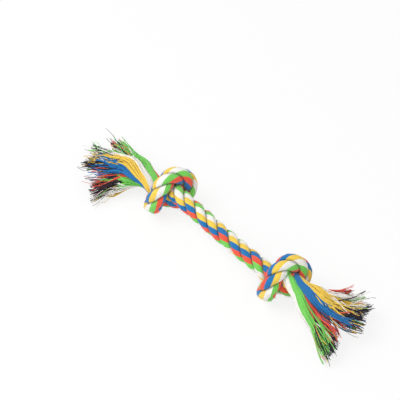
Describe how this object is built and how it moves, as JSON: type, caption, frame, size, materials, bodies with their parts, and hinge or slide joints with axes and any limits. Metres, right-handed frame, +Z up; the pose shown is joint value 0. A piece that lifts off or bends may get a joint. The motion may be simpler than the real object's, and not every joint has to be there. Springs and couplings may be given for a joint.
{
  "type": "rope tug toy",
  "caption": "Laid cotton rope tug toy for dogs, with a tight overhand knot near each end and the strands combed out into a frayed tassel beyond each knot.",
  "frame": {"origin": "middle of the box of the whole toy, on the surface that it rests on", "axes": "+X along the rope from the left tassel to the right one, +Z up"},
  "size_m": [0.302, 0.0822, 0.0441],
  "materials": {
    "laid_strand": "soft spun cotton yarns in five colours",
    "green_yarn": "soft spun cotton",
    "white_yarn": "soft spun cotton",
    "yellow_yarn": "soft spun cotton",
    "blue_yarn": "soft spun cotton",
    "orange_yarn": "soft spun cotton",
    "core_yarn": "dark mixed filler yarn"
  },
  "bodies": {
    "span": {"span_strand_1": "laid_strand", "span_strand_2": "laid_strand", "span_strand_3": "laid_strand"},
    "left_knot": {"left_knot_strand_1": "laid_strand", "left_knot_strand_2": "laid_strand", "left_knot_strand_3": "laid_strand"},
    "right_knot": {"right_knot_strand_1": "laid_strand", "right_knot_strand_2": "laid_strand", "right_knot_strand_3": "laid_strand"},
    "left_lock_1": {"left_lock_1_green": "green_yarn", "left_lock_1_white": "white_yarn", "left_lock_1_yellow": "yellow_yarn", "left_lock_1_blue": "blue_yarn", "left_lock_1_orange": "orange_yarn", "left_lock_1_core": "core_yarn"},
    "left_lock_2": {"left_lock_2_green": "green_yarn", "left_lock_2_white": "white_yarn", "left_lock_2_yellow": "yellow_yarn", "left_lock_2_blue": "blue_yarn", "left_lock_2_orange": "orange_yarn", "left_lock_2_core": "core_yarn"},
    "left_lock_3": {"left_lock_3_green": "green_yarn", "left_lock_3_white": "white_yarn", "left_lock_3_yellow": "yellow_yarn", "left_lock_3_blue": "blue_yarn", "left_lock_3_orange": "orange_yarn", "left_lock_3_core": "core_yarn"},
    "right_lock_1": {"right_lock_1_green": "green_yarn", "right_lock_1_white": "white_yarn", "right_lock_1_yellow": "yellow_yarn", "right_lock_1_blue": "blue_yarn", "right_lock_1_orange": "orange_yarn", "right_lock_1_core": "core_yarn"},
    "right_lock_2": {"right_lock_2_green": "green_yarn", "right_lock_2_white": "white_yarn", "right_lock_2_yellow": "yellow_yarn", "right_lock_2_blue": "blue_yarn", "right_lock_2_orange": "orange_yarn", "right_lock_2_core": "core_yarn"},
    "right_lock_3": {"right_lock_3_green": "green_yarn", "right_lock_3_white": "white_yarn", "right_lock_3_yellow": "yellow_yarn", "right_lock_3_blue": "blue_yarn", "right_lock_3_orange": "orange_yarn", "right_lock_3_core": "core_yarn"}
  },
  "joints": [
    {"name": "bend_left", "type": "hinge", "parent": "span", "child": "left_knot", "pos_m": [-0.02571, 0.00278, 0.02295], "axis": [0, 0, 1], "range_deg": [-60, 60]},
    {"name": "bend_right", "type": "hinge", "parent": "span", "child": "right_knot", "pos_m": [0.02745, 0.00087, 0.02104], "axis": [0, 1, 0], "range_deg": [-60, 60]},
    {"name": "left_lock_1_spread", "type": "hinge", "parent": "left_knot", "child": "left_lock_1", "pos_m": [-0.0873, 0.00013, 0.02994], "axis": [0.086, 0.9963, 0], "range_deg": [0, 25]},
    {"name": "left_lock_2_spread", "type": "hinge", "parent": "left_knot", "child": "left_lock_2", "pos_m": [-0.08745, 0.00893, 0.02123], "axis": [-0.103, 0.009, -0.9946], "range_deg": [0, 15]},
    {"name": "left_lock_3_spread", "type": "hinge", "parent": "left_knot", "child": "left_lock_3", "pos_m": [-0.08895, -0.00851, 0.02123], "axis": [0.103, -0.009, 0.9946], "range_deg": [0, 25]},
    {"name": "right_lock_1_spread", "type": "hinge", "parent": "right_knot", "child": "right_lock_1", "pos_m": [0.09074, 0.00336, 0.03317], "axis": [-0.104, -0.9946, 0], "range_deg": [0, 25]},
    {"name": "right_lock_2_spread", "type": "hinge", "parent": "right_knot", "child": "right_lock_2", "pos_m": [0.08908, -0.00527, 0.02446], "axis": [-0.085, 0.009, -0.9963], "range_deg": [0, 25]},
    {"name": "right_lock_3_spread", "type": "hinge", "parent": "right_knot", "child": "right_lock_3", "pos_m": [0.0909, 0.01214, 0.02446], "axis": [0.085, -0.009, 0.9963], "range_deg": [0, 25]}
  ]
}
